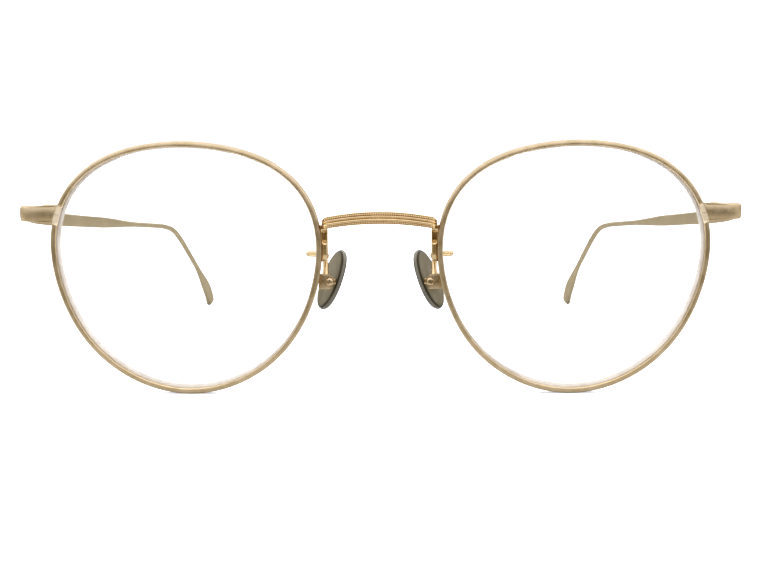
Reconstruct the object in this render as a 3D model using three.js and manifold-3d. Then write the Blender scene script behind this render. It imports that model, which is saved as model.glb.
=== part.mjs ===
// Round metal spectacles with clear lenses, open and standing on their rims and temple tips.
// Millimetres. +Z is up, the front faces -Y, and the wearer's left side is +X.
// Inside the model, y is the depth behind the frontmost face of the bridge; the last step
// moves everything forward by ORIGIN_DEPTH, so the origin is the middle of the footprint.

import * as THREE from 'three';
import { mergeVertices } from 'three/addons/utils/BufferGeometryUtils.js';
import Module from 'manifold-3d';

const wasm = await Module();
wasm.setup();

// ---------------------------------------------------------------- driving dimensions

const ORIGIN_DEPTH = 70.77;
const HALF_LENS_PITCH = 36.0;
const SIDES = [['left', 1], ['right', -1]];

// The eye outline is a circle with a few harmonics: wider than high, fuller towards the
// upper outside, pointed towards the bottom. Angle 0 points to the nose, 90 degrees up.
const EYE_RADIUS = 24.59;
const EYE_WIDTH = 0.86;
const EYE_TILT = -0.265;
const EYE_DROP = 0.91;
const EYE_SQUARE = -0.24;
const EYE_FIFTH = 0.07;
const EYE_SIXTH = -0.08;
const EYE_STEPS = 64;

const RIM_FACE = 1.0;
const RIM_DEPTH = 2.6;
const RIM_FRONT = 2.6;
const RIM_CHAMFER = 0.3;
const GROOVE_DEPTH = 0.5;
const RIM_CLEARANCE = 0.2;
const FRONT_WRAP = THREE.MathUtils.degToRad(1.5);

const LENS_CURVE = 110.0;
const LENS_THICKNESS = 1.3;
const LENS_GAP = 0.1;
const LENS_BEVEL = 0.35;

const BRIDGE_HALF_SPAN = 10.7;
const BRIDGE_TOP = 34.1;
const BRIDGE_BOTTOM = 31.9;
const BRIDGE_TOP_FALL = 1.5;
const BRIDGE_BOTTOM_FALL = 0.6;
const BRIDGE_THICKNESS = 1.7;
const BRIDGE_HOOK_START = 8.7;
const BRIDGE_HOOK = 1.9;

const LEG_INNER = 9.6;
const LEG_OUTER = 11.0;
const LEG_TOP = 31.0;
const LEG_BOTTOM = 24.8;
const LEG_FRONT = 2.4;
const LEG_BACK = 4.4;

const ENDPIECE_HEIGHT_CENTRE = 33.8;
const ENDPIECE_INNER_HEIGHT = 3.5;
const ENDPIECE_OUTER_HEIGHT = 2.85;
const ENDPIECE_THICKNESS = 1.1;
const HALF_WIDTH = 67.4;
const ENDPIECE_END = 7.35;

const LOCK_INNER = 60.0;
const LOCK_OUTER = 63.4;
const LOCK_FRONT = 4.45;
const LOCK_BACK = 6.5;
const LOCK_HALF_HEIGHT = 1.3;
const LOCK_SPLIT = 0.3;
const LOCK_SCREW_RADIUS = 0.5;
const LOCK_SCREW_HEAD_RADIUS = 0.8;

const TEMPLE_SLOPE = THREE.MathUtils.degToRad(5.3);
const TEMPLE_INWARD = 0.169;
const TEMPLE_THICKNESS = 1.1;
const TEMPLE_START = 7.8;
const SEAT_END = 12.9;
const SEAT_DEPTH = 0.1;
const HINGE = { x: 64.95, y: 7.5, z: 33.7 };
const HINGE_RADIUS = 1.15;
const HINGE_BORE = 0.55;
const HINGE_PIN = 0.47;
const HINGE_HALF_HEIGHT = 1.45;
const HINGE_MIDDLE_HALF = 0.5;
const HINGE_WASHER = 0.14;
const HINGE_GAP = 0.08;
const HINGE_HEAD_RADIUS = 0.78;
const HINGE_HEAD_DEPTH = 0.35;
const LEAF_INNER = 65.3;
const LEAF_OUTER = 65.95;

const PAD_SCREW = { x: 9.5, z: 20.8 };
const PAD_LENGTH = 12.2;
const PAD_WIDTH = 7.6;
const PAD_THICKNESS = 1.5;
const PAD_SPLAY = THREE.MathUtils.degToRad(25);
const PAD_TILT = THREE.MathUtils.degToRad(22);
const PAD_LEAN = THREE.MathUtils.degToRad(6);
const PAD_CENTRE = { x: 9.2, y: 10.4, z: 20.65 };

const BOX_INNER = 9.0;
const BOX_OUTER = 11.5;
const BOX_FRONT = 5.1;
const BOX_BACK = 6.9;
const BOX_WALL = 0.45;
const BOX_HALF_HEIGHT = 1.4;
const ARM_RADIUS = 0.52;
const STEM_REACH = 1.15;

// ---------------------------------------------------------------- materials

const gold = (colour, roughness) => new THREE.MeshStandardMaterial({ color: colour, roughness, metalness: 1.0 });
const brushedGold = () => gold(0xc8a878, 0.42);
const polishedGold = () => gold(0xd9bd8a, 0.22);
const screwGold = () => gold(0xd8bf8e, 0.3);
const clearLens = () => new THREE.MeshStandardMaterial({
  color: 0xf4f8f8, roughness: 0.03, metalness: 0.0, transparent: true, opacity: 0.2,
});
const smokedPad = () => new THREE.MeshStandardMaterial({ color: 0x84806f, roughness: 0.15, metalness: 0.0 });

// ---------------------------------------------------------------- solids from geometries

function closedMesh(geometry) {
  const bare = geometry.clone();
  bare.deleteAttribute('normal');
  bare.deleteAttribute('uv');
  const merged = mergeVertices(bare, 1e-4);
  const place = merged.attributes.position;
  const corner = (i) => new THREE.Vector3().fromBufferAttribute(place, i);
  const triangles = [];
  let volume = 0;
  for (let i = 0; i < merged.index.count; i += 3) {
    const [a, b, c] = [0, 1, 2].map((k) => merged.index.getX(i + k));
    if (a === b || b === c || c === a) continue;
    triangles.push([a, b, c]);
    volume += corner(a).dot(corner(b).cross(corner(c)));
  }
  const outward = volume > 0 ? triangles : triangles.map(([a, b, c]) => [a, c, b]);
  return new wasm.Mesh({
    numProp: 3,
    vertProperties: new Float32Array(place.array),
    triVerts: new Uint32Array(outward.flat()),
  });
}

const solid = (geometry) => new wasm.Manifold(closedMesh(geometry));

function geometryOf(body) {
  const mesh = body.getMesh();
  const geometry = new THREE.BufferGeometry();
  geometry.setAttribute('position', new THREE.BufferAttribute(new Float32Array(mesh.vertProperties), 3));
  geometry.setIndex(new THREE.BufferAttribute(new Uint32Array(mesh.triVerts), 1));
  geometry.computeVertexNormals();
  return geometry;
}

// Every side piece is drawn for the +X side and reflected for the other one.
function onSide(geometry, side) {
  const copy = geometry.clone();
  if (side < 0) copy.scale(-1, 1, 1);
  return geometryOf(solid(copy));
}

function piece(name, geometry, material) {
  const mesh = new THREE.Mesh(geometry, material);
  mesh.name = name;
  return mesh;
}

// An outline drawn in the front view (x across, y up) becomes a plate that faces the front.
function frontPlate(shape, front, thickness, bevel = 0, bevelSegments = 1) {
  const plate = extrude(shape, thickness, bevel, bevelSegments);
  plate.rotateX(Math.PI / 2);
  plate.translate(0, front + thickness, 0);
  return plate;
}

// An outline drawn in the side view (x is depth, y up) becomes a plate of the given thickness.
function sidePlate(shape, thickness, bevel = 0, bevelSegments = 1) {
  const plate = extrude(shape, thickness, bevel, bevelSegments);
  plate.translate(0, 0, -thickness / 2);
  plate.applyMatrix4(new THREE.Matrix4().set(0, 0, 1, 0, 1, 0, 0, 0, 0, 1, 0, 0, 0, 0, 0, 1));
  return plate;
}

function extrude(shape, thickness, bevel, bevelSegments) {
  const plate = new THREE.ExtrudeGeometry(shape, {
    depth: thickness - 2 * bevel,
    bevelEnabled: bevel > 0,
    bevelThickness: bevel,
    bevelSize: bevel,
    bevelOffset: -bevel,
    bevelSegments,
    curveSegments: 12,
  });
  plate.translate(0, 0, bevel);
  return plate;
}

function box(low, high) {
  const geometry = new THREE.BoxGeometry(high[0] - low[0], high[1] - low[1], high[2] - low[2]);
  geometry.translate((low[0] + high[0]) / 2, (low[1] + high[1]) / 2, (low[2] + high[2]) / 2);
  return geometry;
}

function uprightCylinder(radius, low, high, x = 0, y = 0, sides = 16) {
  const geometry = new THREE.CylinderGeometry(radius, radius, high - low, sides);
  geometry.rotateX(Math.PI / 2);
  geometry.translate(x, y, (low + high) / 2);
  return geometry;
}

function depthCylinder(radius, front, back, x, z, sides = 16) {
  const geometry = new THREE.CylinderGeometry(radius, radius, back - front, sides);
  geometry.translate(x, (front + back) / 2, z);
  return geometry;
}

function bend(geometry, move) {
  const place = geometry.attributes.position;
  const point = new THREE.Vector3();
  for (let i = 0; i < place.count; i += 1) {
    point.fromBufferAttribute(place, i);
    move(point);
    place.setXYZ(i, point.x, point.y, point.z);
  }
  return geometry;
}

// ---------------------------------------------------------------- eye outline, rims and lenses

function eyeRadius(angle) {
  return EYE_RADIUS
    + EYE_WIDTH * Math.cos(2 * angle) + EYE_TILT * Math.sin(2 * angle)
    + EYE_DROP * Math.sin(3 * angle) + EYE_SQUARE * Math.cos(4 * angle)
    + EYE_FIFTH * Math.sin(5 * angle) + EYE_SIXTH * Math.cos(6 * angle);
}

function eyePoints(inset) {
  return Array.from({ length: EYE_STEPS }, (_, i) => {
    const angle = (-2 * Math.PI * i) / EYE_STEPS;
    const radius = eyeRadius(angle) - inset;
    return new THREE.Vector2(-radius * Math.cos(angle), radius * Math.sin(angle));
  });
}

const LENS_CENTRE_HEIGHT = -Math.min(...eyePoints(0).map((point) => point.y));

function eyeRing(outerInset, innerInset) {
  const ring = new THREE.Shape(eyePoints(outerInset));
  ring.holes.push(new THREE.Path(eyePoints(innerInset)));
  return ring;
}

// A disc with a V-shaped edge: it cuts the lens groove.
function vDisc(inset, reach, halfHeight) {
  const disc = new THREE.ExtrudeGeometry(new THREE.Shape(eyePoints(inset)), {
    depth: 0.02, bevelEnabled: true, bevelThickness: halfHeight, bevelSize: reach, bevelSegments: 1,
  });
  disc.rotateX(Math.PI / 2);
  disc.translate(0, RIM_DEPTH / 2 + 0.01, 0);
  return disc;
}

// The rim is a grooved ring, split at the endpiece, where the two lock blocks draw it together.
function rimGeometry() {
  const ring = solid(frontPlate(eyeRing(0, RIM_FACE), 0, RIM_DEPTH, RIM_CHAMFER));
  const grooved = ring.subtract(solid(vDisc(RIM_FACE + 0.3, GROOVE_DEPTH + 0.3, 0.95)));
  const splitHeight = ENDPIECE_HEIGHT_CENTRE - LENS_CENTRE_HEIGHT;
  const split = solid(box([18, -1, splitHeight - LOCK_SPLIT / 2], [30, 4, splitHeight + LOCK_SPLIT / 2]));
  return geometryOf(grooved.subtract(split));
}

// A meniscus lens cut to the eye outline, with a bevel on its edge that sits in the groove.
function lensGeometry() {
  const sag = (radius) => LENS_CURVE - Math.sqrt(LENS_CURVE ** 2 - radius ** 2);
  const apex = RIM_DEPTH / 2 - LENS_THICKNESS / 2 - sag(EYE_RADIUS - RIM_FACE);
  const rings = [0, 6, 12, 18, 23, 28];
  const front = rings.map((radius) => new THREE.Vector2(radius, apex + sag(radius)));
  const back = [...rings].reverse().map((radius) => new THREE.Vector2(radius, apex + sag(radius) + LENS_THICKNESS));
  const blank = solid(new THREE.LatheGeometry([...front, ...back], 32));
  const inset = RIM_FACE + LENS_GAP;
  const cut = blank.intersect(solid(frontPlate(new THREE.Shape(eyePoints(inset)), -6, 14)));
  const bevelRing = new THREE.ExtrudeGeometry(eyeRing(inset, inset + 1), {
    depth: 0.02, bevelEnabled: true, bevelThickness: 0.3, bevelSize: LENS_BEVEL - LENS_GAP, bevelSegments: 1,
  });
  bevelRing.rotateX(Math.PI / 2);
  bevelRing.translate(0, RIM_DEPTH / 2 + 0.01, 0);
  return geometryOf(cut.add(solid(bevelRing)));
}

// The space of the rim and a little more, from which the pieces fixed to its outside are coped.
function rimSpace() {
  const space = frontPlate(new THREE.Shape(eyePoints(-RIM_CLEARANCE)), -3, 12);
  space.rotateZ(FRONT_WRAP);
  space.translate(HALF_LENS_PITCH, RIM_FRONT, LENS_CENTRE_HEIGHT);
  return solid(space);
}

// ---------------------------------------------------------------- bridge and nose fittings

// An arched bar, deepest in the middle, whose two ends hook back to meet the legs.
function bridgeGeometry() {
  const steps = 24;
  const along = Array.from({ length: steps + 1 }, (_, i) => (2 * i) / steps - 1);
  const top = along.map((u) => new THREE.Vector2(u * BRIDGE_HALF_SPAN, BRIDGE_TOP - BRIDGE_TOP_FALL * u * u));
  const bottom = along.map((u) => (
    new THREE.Vector2(u * BRIDGE_HALF_SPAN, BRIDGE_BOTTOM - BRIDGE_BOTTOM_FALL * u * u)
  ));
  const outline = new THREE.Shape([...bottom, ...top.reverse()]);
  const bar = frontPlate(outline, 0, BRIDGE_THICKNESS, 0.4);
  return geometryOf(solid(bend(bar, (point) => {
    const past = Math.max(0, Math.abs(point.x) - BRIDGE_HOOK_START) / (BRIDGE_HALF_SPAN - BRIDGE_HOOK_START);
    point.y += BRIDGE_HOOK * past * past;
  })));
}

// A flat strap beside the rim, which carries the end of the bridge and the pad arm.
function legGeometry() {
  const strap = solid(box([LEG_INNER, LEG_FRONT, LEG_BOTTOM], [LEG_OUTER, LEG_BACK, LEG_TOP]));
  const reliefLow = [LEG_INNER - 1, LEG_FRONT + 0.9, LEG_BOTTOM + 2.4];
  const relief = solid(box(reliefLow, [LEG_INNER + 0.35, LEG_BACK + 1, LEG_TOP + 1]));
  return geometryOf(strap.subtract(relief).subtract(rimSpace()));
}

// A round wire from the leg, out and back in a flat loop behind the lens, then down to the box.
function padArmGeometry() {
  const route = new THREE.CatmullRomCurve3([
    new THREE.Vector3(10.05, 4.85, 25.75),
    new THREE.Vector3(10.35, 5.6, 25.9),
    new THREE.Vector3(11.7, 6.0, 25.95),
    new THREE.Vector3(13.0, 6.3, 25.95),
    new THREE.Vector3(13.45, 7.0, 25.95),
    new THREE.Vector3(12.85, 7.7, 25.9),
    new THREE.Vector3(11.4, 7.75, 25.7),
    new THREE.Vector3(10.5, 7.3, 25.0),
    new THREE.Vector3(10.2, 6.5, 24.0),
    new THREE.Vector3(10.2, 6.05, 22.5),
  ]);
  const section = new THREE.Shape();
  section.absarc(0, 0, ARM_RADIUS, 0, 2 * Math.PI);
  return new THREE.ExtrudeGeometry(section, { extrudePath: route, steps: 26, curveSegments: 4 });
}

// A channel, open towards the nose, whose two cheeks hold the pad's stem on a screw.
function padBoxGeometry() {
  const { z } = PAD_SCREW;
  const block = solid(box([BOX_INNER, BOX_FRONT, z - BOX_HALF_HEIGHT], [BOX_OUTER, BOX_BACK, z + BOX_HALF_HEIGHT]));
  const channel = solid(box(
    [BOX_INNER - 1, BOX_FRONT + BOX_WALL, z - BOX_HALF_HEIGHT - 1],
    [BOX_OUTER - BOX_WALL, BOX_BACK - BOX_WALL, z + BOX_HALF_HEIGHT + 1],
  ));
  const bore = solid(depthCylinder(0.5, BOX_FRONT - 1, BOX_BACK + 1, PAD_SCREW.x, z));
  return geometryOf(block.subtract(channel).subtract(bore));
}

function padScrewGeometry() {
  const shank = solid(depthCylinder(0.4, BOX_FRONT - 0.2, BOX_BACK + 0.1, PAD_SCREW.x, PAD_SCREW.z));
  const head = solid(depthCylinder(0.7, BOX_FRONT - 0.5, BOX_FRONT - 0.1, PAD_SCREW.x, PAD_SCREW.z));
  return geometryOf(shank.add(head));
}

// The pad's own axes: local x is across the pad, y is along it, z points to the nose.
function padPlacement() {
  const turn = new THREE.Matrix4()
    .multiply(new THREE.Matrix4().makeRotationY(-PAD_TILT))
    .multiply(new THREE.Matrix4().makeRotationX(PAD_LEAN))
    .multiply(new THREE.Matrix4().makeRotationZ(-PAD_SPLAY));
  return new THREE.Matrix4().makeTranslation(PAD_CENTRE.x, PAD_CENTRE.y, PAD_CENTRE.z).multiply(turn);
}

function padGeometry() {
  const outline = new THREE.Shape();
  outline.absellipse(0, 0, PAD_WIDTH / 2, PAD_LENGTH / 2, 0, 2 * Math.PI);
  const pad = sidePlate(outline, PAD_THICKNESS, 0.45, 2);
  return pad.applyMatrix4(padPlacement());
}

// A thin tongue from the pad's back to the screw, with a collar round the screw hole.
function padStemGeometry() {
  const { x, z } = PAD_SCREW;
  const front = BOX_FRONT + BOX_WALL + 0.12;
  const back = BOX_BACK - BOX_WALL - 0.12;
  const collar = solid(depthCylinder(0.9, front, back, x, z));
  const tongue = solid(box([x - STEM_REACH, front, z - 0.5], [x, back, z + 0.5]));
  const foot = solid(box([x - STEM_REACH, front, z - 0.5], [BOX_INNER - 0.15, back + 2.2, z + 0.5]));
  const bore = solid(depthCylinder(0.48, front - 1, back + 1, x, z));
  const padSpace = sidePlate(new THREE.Shape([
    new THREE.Vector2(-6, -8), new THREE.Vector2(6, -8), new THREE.Vector2(6, 8), new THREE.Vector2(-6, 8),
  ]), PAD_THICKNESS + 6);
  padSpace.translate(-3 + 0.12, 0, 0).applyMatrix4(padPlacement());
  return geometryOf(collar.add(tongue).add(foot).subtract(bore).subtract(solid(padSpace)));
}

// ---------------------------------------------------------------- endpieces and rim locks

// A plate that leaves the rim, turns back round the corner and ends at the temple joint.
function endpieceGeometry() {
  const inner = LOCK_INNER;
  const turn = 2.6;
  const front = RIM_FRONT + 0.35;
  const shape = new THREE.Shape();
  shape.moveTo(inner, front);
  shape.lineTo(HALF_WIDTH - turn, front + 0.15);
  shape.quadraticCurveTo(HALF_WIDTH - 0.25, front + 0.25, HALF_WIDTH, front + turn);
  shape.lineTo(HALF_WIDTH, ENDPIECE_END);
  shape.lineTo(HALF_WIDTH - ENDPIECE_THICKNESS, ENDPIECE_END);
  shape.lineTo(HALF_WIDTH - ENDPIECE_THICKNESS, front + turn + 0.2);
  shape.quadraticCurveTo(
    HALF_WIDTH - ENDPIECE_THICKNESS - 0.2, front + ENDPIECE_THICKNESS + 0.2,
    HALF_WIDTH - turn - 0.4, front + ENDPIECE_THICKNESS + 0.1,
  );
  shape.lineTo(inner, front + ENDPIECE_THICKNESS);
  const plate = extrude(shape, ENDPIECE_INNER_HEIGHT, 0.28, 1);
  plate.translate(0, 0, -ENDPIECE_INNER_HEIGHT / 2);
  bend(plate, (point) => {
    const out = (point.x - inner) / (HALF_WIDTH - inner);
    point.z *= 1 - out * (1 - ENDPIECE_OUTER_HEIGHT / ENDPIECE_INNER_HEIGHT);
    point.z += ENDPIECE_HEIGHT_CENTRE;
  });
  return geometryOf(solid(plate).subtract(rimSpace()));
}

const LOCK_SCREW_X = LOCK_OUTER - 1.1;
const LOCK_SCREW_Y = (LOCK_FRONT + LOCK_BACK) / 2;

function lockGeometry(low, high) {
  const block = solid(box([LOCK_INNER, LOCK_FRONT, low], [LOCK_OUTER, LOCK_BACK, high]));
  const bore = uprightCylinder(LOCK_SCREW_RADIUS + 0.08, low - 1, high + 1, LOCK_SCREW_X, LOCK_SCREW_Y);
  return geometryOf(block.subtract(solid(bore)).subtract(rimSpace()));
}

function lockScrewGeometry() {
  const low = ENDPIECE_HEIGHT_CENTRE - LOCK_HALF_HEIGHT - 0.15;
  const high = ENDPIECE_HEIGHT_CENTRE + LOCK_HALF_HEIGHT + 0.1;
  const shank = solid(uprightCylinder(LOCK_SCREW_RADIUS, low, high + 0.1, LOCK_SCREW_X, LOCK_SCREW_Y));
  const head = solid(uprightCylinder(LOCK_SCREW_HEAD_RADIUS, high, high + 0.35, LOCK_SCREW_X, LOCK_SCREW_Y));
  const slot = solid(box(
    [LOCK_SCREW_X - 1, LOCK_SCREW_Y - 0.12, high + 0.2],
    [LOCK_SCREW_X + 1, LOCK_SCREW_Y + 0.12, high + 1],
  ));
  return geometryOf(shank.add(head).subtract(slot));
}

// ---------------------------------------------------------------- hinges and temples

// Hinge pieces are drawn about their pin, upright, and leant to the pin's real direction.
function alongPin(geometry) {
  geometry.rotateX(-TEMPLE_SLOPE);
  return geometry;
}

function leafBox(front, back, low, high) {
  return box([LEAF_INNER - HINGE.x, front - HINGE.y, low], [LEAF_OUTER - HINGE.x, back - HINGE.y, high]);
}

function barrel(low, high) {
  return solid(uprightCylinder(HINGE_RADIUS, low, high));
}

const OUTER_KNUCKLE = HINGE_MIDDLE_HALF + HINGE_WASHER + 2 * HINGE_GAP;

function hingeFrontGeometry() {
  const leaf = solid(leafBox(5.3, 7.2, -HINGE_HALF_HEIGHT, HINGE_HALF_HEIGHT));
  const clearance = solid(uprightCylinder(HINGE_RADIUS + 0.15, -OUTER_KNUCKLE, OUTER_KNUCKLE));
  const bore = solid(uprightCylinder(HINGE_BORE, -3, 3));
  const counterbore = solid(uprightCylinder(HINGE_HEAD_RADIUS + 0.08, HINGE_HALF_HEIGHT - HINGE_HEAD_DEPTH, 3));
  const knuckles = barrel(OUTER_KNUCKLE, HINGE_HALF_HEIGHT).add(barrel(-HINGE_HALF_HEIGHT, -OUTER_KNUCKLE));
  return alongPin(geometryOf(leaf.subtract(clearance).add(knuckles).subtract(bore).subtract(counterbore)));
}

function hingeTempleGeometry() {
  const inward = Math.atan(TEMPLE_INWARD);
  const leaf = solid(leafBox(7.9, 12.4, -HINGE_MIDDLE_HALF - 0.5, HINGE_MIDDLE_HALF + 0.5).rotateZ(inward));
  const clearance = solid(uprightCylinder(HINGE_RADIUS + 0.15, OUTER_KNUCKLE - HINGE_WASHER - HINGE_GAP, 3));
  const lowClearance = solid(uprightCylinder(HINGE_RADIUS + 0.15, -3, -OUTER_KNUCKLE + HINGE_WASHER + HINGE_GAP));
  const web = solid(box([0, 0, -HINGE_MIDDLE_HALF], [LEAF_OUTER - HINGE.x, 1.6, HINGE_MIDDLE_HALF]).rotateZ(inward));
  const bore = solid(uprightCylinder(HINGE_BORE, -3, 3));
  const middle = barrel(-HINGE_MIDDLE_HALF, HINGE_MIDDLE_HALF);
  return alongPin(geometryOf(
    leaf.subtract(clearance).subtract(lowClearance).add(web).add(middle).subtract(bore),
  ));
}

function hingeWasherGeometry(up) {
  const low = HINGE_MIDDLE_HALF + HINGE_GAP;
  const ring = solid(uprightCylinder(HINGE_RADIUS - 0.1, low, low + HINGE_WASHER));
  const washer = geometryOf(ring.subtract(solid(uprightCylinder(HINGE_BORE, 0, 3))));
  if (up < 0) washer.rotateX(Math.PI);
  return alongPin(washer);
}

function hingeScrewGeometry() {
  const seat = HINGE_HALF_HEIGHT - HINGE_HEAD_DEPTH + 0.05;
  const shank = solid(uprightCylinder(HINGE_PIN, -HINGE_HALF_HEIGHT + 0.05, seat + 0.1));
  const head = solid(uprightCylinder(HINGE_HEAD_RADIUS, seat, seat + 0.28));
  const slot = solid(box([-1, -0.1, seat + 0.14], [1, 0.1, 3]));
  return alongPin(geometryOf(shank.add(head).subtract(slot)));
}

// The temple is one bar: a tall flat blade that thins to a wire, bends down behind the ear
// and widens again into a flat paddle. A shallow seat on its inner side takes the hinge leaf.
const templeLine = new THREE.SplineCurve([
  new THREE.Vector2(TEMPLE_START, 33.7),
  new THREE.Vector2(14, 32.55),
  new THREE.Vector2(28, 31.0),
  new THREE.Vector2(60, 28.0),
  new THREE.Vector2(92, 25.0),
  new THREE.Vector2(98.5, 23.6),
  new THREE.Vector2(104, 20.7),
  new THREE.Vector2(113, 15.9),
  new THREE.Vector2(126, 9.4),
  new THREE.Vector2(136, 4.4),
  new THREE.Vector2(140.3, 1.24),
]);

function templeHalfHeight(depth) {
  const ease = THREE.MathUtils.smoothstep;
  const blade = 1.4 - 0.25 * ease(depth, 7, 45);
  const wire = 0.55;
  const paddle = 1.25;
  return blade + (wire - blade) * ease(depth, 46, 72) + (paddle - wire) * ease(depth, 118, 134);
}

function templeLateral(depth) {
  const ear = Math.max(0, depth - 93);
  return 66.8 - TEMPLE_INWARD * (depth - TEMPLE_START) + 0.00173 * ear * ear;
}

function templeGeometry() {
  const steps = 46;
  const top = [];
  const bottom = [];
  for (let i = 0; i <= steps; i += 1) {
    const point = templeLine.getPointAt(i / steps);
    const across = templeLine.getTangentAt(i / steps).rotateAround(new THREE.Vector2(), Math.PI / 2);
    const half = templeHalfHeight(point.x);
    top.push(point.clone().addScaledVector(across, half));
    bottom.push(point.clone().addScaledVector(across, -half));
  }
  const end = templeLine.getPointAt(1);
  const along = templeLine.getTangentAt(1);
  const round = [1, 2, 3, 4, 5].map((k) => {
    const angle = (Math.PI * k) / 6;
    const half = templeHalfHeight(end.x);
    const across = along.clone().rotateAround(new THREE.Vector2(), Math.PI / 2);
    return end.clone().addScaledVector(across, half * Math.cos(angle)).addScaledVector(along, half * Math.sin(angle));
  });
  const outline = new THREE.Shape([...top, ...round, ...bottom.reverse()]);
  const blade = solid(sidePlate(outline, TEMPLE_THICKNESS, 0.25));
  const seat = solid(box([-TEMPLE_THICKNESS, 0, 0], [SEAT_DEPTH - TEMPLE_THICKNESS / 2, SEAT_END, 40]));
  return bend(geometryOf(blade.subtract(seat)), (point) => {
    point.x += templeLateral(point.y);
  });
}

// ---------------------------------------------------------------- assembly

const glasses = new THREE.Group();
glasses.position.set(0, -ORIGIN_DEPTH, 0);

const bridge = piece('bridge', bridgeGeometry(), polishedGold());
glasses.add(bridge);

for (const [name, side] of SIDES) {
  const eye = new THREE.Group();
  eye.position.set(side * HALF_LENS_PITCH, RIM_FRONT, LENS_CENTRE_HEIGHT);
  eye.rotation.z = side * FRONT_WRAP;
  eye.add(piece(`rim_${name}`, onSide(rimGeometry(), side), brushedGold()));
  eye.add(piece(`lens_${name}`, onSide(lensGeometry(), side), clearLens()));
  glasses.add(eye);

  const middle = ENDPIECE_HEIGHT_CENTRE;
  const upperLock = lockGeometry(middle + LOCK_SPLIT / 2, middle + LOCK_HALF_HEIGHT);
  const lowerLock = lockGeometry(middle - LOCK_HALF_HEIGHT, middle - LOCK_SPLIT / 2);
  glasses.add(
    piece(`bridge_leg_${name}`, onSide(legGeometry(), side), polishedGold()),
    piece(`endpiece_${name}`, onSide(endpieceGeometry(), side), brushedGold()),
    piece(`rim_lock_upper_${name}`, onSide(upperLock, side), brushedGold()),
    piece(`rim_lock_lower_${name}`, onSide(lowerLock, side), brushedGold()),
    piece(`rim_lock_screw_${name}`, onSide(lockScrewGeometry(), side), screwGold()),
    piece(`pad_arm_${name}`, onSide(padArmGeometry(), side), polishedGold()),
    piece(`pad_box_${name}`, onSide(padBoxGeometry(), side), brushedGold()),
    piece(`pad_screw_${name}`, onSide(padScrewGeometry(), side), screwGold()),
    piece(`pad_stem_${name}`, onSide(padStemGeometry(), side), polishedGold()),
    piece(`nose_pad_${name}`, onSide(padGeometry(), side), smokedPad()),
    piece(`temple_${name}`, onSide(templeGeometry(), side), brushedGold()),
  );

  const hinge = new THREE.Group();
  hinge.position.set(side * HINGE.x, HINGE.y, HINGE.z);
  hinge.add(
    piece(`hinge_front_${name}`, onSide(hingeFrontGeometry(), side), brushedGold()),
    piece(`hinge_temple_${name}`, onSide(hingeTempleGeometry(), side), brushedGold()),
    piece(`hinge_washer_upper_${name}`, onSide(hingeWasherGeometry(1), side), screwGold()),
    piece(`hinge_washer_lower_${name}`, onSide(hingeWasherGeometry(-1), side), screwGold()),
    piece(`hinge_screw_${name}`, onSide(hingeScrewGeometry(), side), screwGold()),
  );
  glasses.add(hinge);
}

export default glasses;
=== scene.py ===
import math

import bmesh
import bpy
from mathutils import Matrix, Vector


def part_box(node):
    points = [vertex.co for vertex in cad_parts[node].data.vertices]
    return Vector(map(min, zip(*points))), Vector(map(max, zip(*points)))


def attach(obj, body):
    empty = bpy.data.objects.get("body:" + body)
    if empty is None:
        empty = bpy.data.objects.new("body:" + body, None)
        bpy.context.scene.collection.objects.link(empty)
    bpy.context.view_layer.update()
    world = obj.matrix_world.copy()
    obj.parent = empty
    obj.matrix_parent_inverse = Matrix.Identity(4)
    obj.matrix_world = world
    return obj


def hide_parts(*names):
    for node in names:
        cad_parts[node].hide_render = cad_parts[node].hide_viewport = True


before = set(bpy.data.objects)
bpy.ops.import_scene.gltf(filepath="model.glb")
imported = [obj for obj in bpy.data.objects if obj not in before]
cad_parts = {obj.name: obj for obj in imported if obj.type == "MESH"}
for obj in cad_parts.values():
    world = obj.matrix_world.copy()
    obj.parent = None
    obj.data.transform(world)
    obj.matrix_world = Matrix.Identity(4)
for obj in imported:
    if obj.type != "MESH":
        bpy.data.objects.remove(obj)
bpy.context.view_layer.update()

scene = bpy.context.scene

# Lengths are millimetres unless a comment says metres. A point is (x, depth, z): x to the
# wearer's left, depth behind the front of the bridge, z up from the table. to_frame() and
# finished() turn them into the frame.
MM = 0.001
FRONT_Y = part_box("bridge")[0].y
SIDES = ("left", "right")

# ---------------- camera

# The camera model fitted to the photographed frame: place, and turns in degrees.
CAMERA_POINT = (5.0, -300.0, 53.15)
CAMERA_YAW = 0.83
CAMERA_PITCH = -6.24
CAMERA_ROLL = -0.26
FOCAL_PIXELS = 1637.8
IMAGE_WIDTH = 766
SENSOR = 36.0


def to_frame(x, depth, z):
    return Vector((x * MM, FRONT_Y + depth * MM, z * MM))


def make_camera():
    data = bpy.data.cameras.new("camera")
    data.sensor_width = SENSOR
    data.lens = FOCAL_PIXELS / IMAGE_WIDTH * SENSOR
    data.clip_start = 0.01
    data.clip_end = 20
    camera = bpy.data.objects.new("camera", data)
    turn = Matrix.Rotation(math.radians(CAMERA_YAW), 4, "Z")
    turn @= Matrix.Rotation(math.radians(90 + CAMERA_PITCH), 4, "X")
    turn @= Matrix.Rotation(math.radians(CAMERA_ROLL), 4, "Z")
    camera.matrix_world = Matrix.Translation(to_frame(*CAMERA_POINT)) @ turn
    scene.collection.objects.link(camera)
    scene.camera = camera


# ---------------- materials


def even(scale):
    return (scale, scale, scale)


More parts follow.
